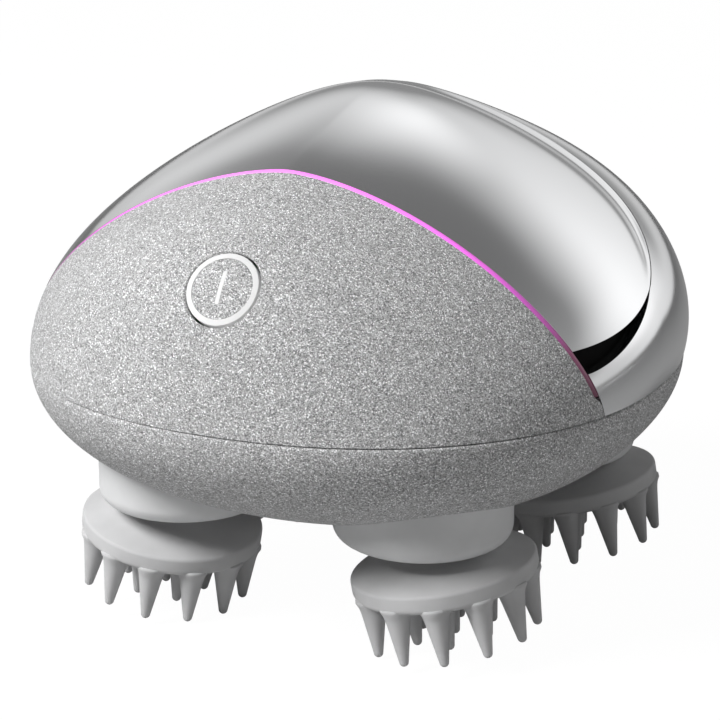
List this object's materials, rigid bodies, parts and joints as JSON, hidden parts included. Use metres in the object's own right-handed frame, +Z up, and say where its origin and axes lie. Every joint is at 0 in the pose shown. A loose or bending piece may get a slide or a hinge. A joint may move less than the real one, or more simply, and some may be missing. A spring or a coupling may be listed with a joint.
{
  "type": "electric scalp massager",
  "caption": "Hand-held electric scalp massager: a domed silver and chrome housing with a power button and a light line over kneading heads with soft fingers.",
  "frame": {"origin": "on the ground plane under the middle of the housing, where the lowest finger tips touch", "axes": "+Z up from the finger tips to the crown; the power button faces -Y; +X is the right side seen from the back"},
  "size_m": [0.1106, 0.113, 0.0882],
  "materials": {
    "glitter_silver": "silver plastic with fine glitter flakes under clear lacquer",
    "mirror_chrome": "bright chrome plating on plastic, mirror smooth",
    "black_plastic": "black plastic, lightly glossy",
    "light_line": "translucent light guide that glows pink",
    "white_plastic": "white plastic, smooth",
    "seal_rubber": "black sealing rubber, matte",
    "satin_grey": "light grey plastic with a satin surface",
    "pad_silicone": "soft grey silicone, matte",
    "cover_silicone": "soft grey silicone, matte",
    "nylon": "natural nylon, matte",
    "plain_steel": "plain steel, lightly brushed",
    "bush_brass": "turned brass",
    "board_green": "green board lacquer",
    "cell_wrap": "blue shrink wrap"
  },
  "bodies": {
    "housing": {"lower_pan": "glitter_silver", "front_panel": "glitter_silver", "dome_cover": "mirror_chrome", "rear_band": "mirror_chrome", "slit_liner_right": "black_plastic", "slit_liner_left": "black_plastic", "light_guide": "light_line", "light_strip": "white_plastic", "seam_seal": "seal_rubber", "charge_socket": "plain_steel", "socket_cover": "cover_silicone", "button_switch": "black_plastic", "main_board": "board_green", "gear_plate": "nylon", "motor_bridge": "nylon", "bridge_screws": "plain_steel", "plate_screws": "plain_steel", "gearbox": "plain_steel", "motor_can": "plain_steel", "battery_cradle": "nylon", "battery_cell": "cell_wrap", "head_cup_a": "satin_grey", "head_cup_b": "satin_grey", "head_cup_c": "satin_grey", "head_cup_d": "satin_grey", "shaft_bush_a": "bush_brass", "shaft_bush_b": "bush_brass", "shaft_bush_c": "bush_brass", "shaft_bush_d": "bush_brass"},
    "button": {"power_button": "glitter_silver", "button_ring": "white_plastic", "button_bar": "white_plastic"},
    "sun": {"sun_gear": "nylon", "sun_shaft": "plain_steel"},
    "crank_a": {"crank_gear_a": "nylon", "crank_arm_a": "plain_steel", "pin_clip_a": "plain_steel"},
    "head_a": {"head_hub_a": "nylon", "head_pad_a": "pad_silicone"},
    "crank_b": {"crank_gear_b": "nylon", "crank_arm_b": "plain_steel", "pin_clip_b": "plain_steel"},
    "head_b": {"head_hub_b": "nylon", "head_pad_b": "pad_silicone"},
    "crank_c": {"crank_gear_c": "nylon", "crank_arm_c": "plain_steel", "pin_clip_c": "plain_steel"},
    "head_c": {"head_hub_c": "nylon", "head_pad_c": "pad_silicone"},
    "crank_d": {"crank_gear_d": "nylon", "crank_arm_d": "plain_steel", "pin_clip_d": "plain_steel"},
    "head_d": {"head_hub_d": "nylon", "head_pad_d": "pad_silicone"}
  },
  "joints": [
    {"name": "button_press", "type": "slide", "parent": "housing", "child": "button", "axis": [0, 0.7992, -0.601], "range_m": [0, 0.0008], "stiffness_N_per_m": 1500},
    {"name": "sun_turn", "type": "hinge", "parent": "housing", "child": "sun", "pos_m": [0, 0.0032, 0.04338], "axis": [0, 0, 1], "continuous": true},
    {"name": "crank_a_turn", "type": "hinge", "parent": "housing", "child": "crank_a", "pos_m": [-0.022, -0.02402, 0.04338], "axis": [0, 0, 1], "continuous": true},
    {"name": "crank_b_turn", "type": "hinge", "parent": "housing", "child": "crank_b", "pos_m": [0.022, -0.02402, 0.04338], "axis": [0, 0, 1], "continuous": true},
    {"name": "crank_c_turn", "type": "hinge", "parent": "housing", "child": "crank_c", "pos_m": [0.026, 0.02663, 0.04338], "axis": [0, 0, 1], "continuous": true},
    {"name": "crank_d_turn", "type": "hinge", "parent": "housing", "child": "crank_d", "pos_m": [-0.026, 0.02663, 0.04338], "axis": [0, 0, 1], "continuous": true},
    {"name": "head_a_turn", "type": "hinge", "parent": "crank_a", "child": "head_a", "pos_m": [-0.022, -0.02402, 0.03348], "axis": [0.176, -0.0472, 0.9833], "continuous": true},
    {"name": "head_b_turn", "type": "hinge", "parent": "crank_b", "child": "head_b", "pos_m": [0.022, -0.02402, 0.03348], "axis": [-0.176, -0.0472, 0.9833], "continuous": true},
    {"name": "head_c_turn", "type": "hinge", "parent": "crank_c", "child": "head_c", "pos_m": [0.026, 0.02663, 0.03348], "axis": [-0.176, -0.0472, 0.9833], "continuous": true},
    {"name": "head_d_turn", "type": "hinge", "parent": "crank_d", "child": "head_d", "pos_m": [-0.026, 0.02663, 0.03348], "axis": [0.176, -0.0472, 0.9833], "continuous": true}
  ],
  "couplings": [
    {"joint": "crank_a_turn", "follows": "sun_turn", "ratio": -1.5},
    {"joint": "crank_b_turn", "follows": "sun_turn", "ratio": -1.5},
    {"joint": "crank_c_turn", "follows": "sun_turn", "ratio": -1.5},
    {"joint": "crank_d_turn", "follows": "sun_turn", "ratio": -1.5},
    {"joint": "head_a_turn", "follows": "sun_turn", "ratio": 1.5},
    {"joint": "head_b_turn", "follows": "sun_turn", "ratio": 1.5},
    {"joint": "head_c_turn", "follows": "sun_turn", "ratio": 1.5},
    {"joint": "head_d_turn", "follows": "sun_turn", "ratio": 1.5}
  ]
}
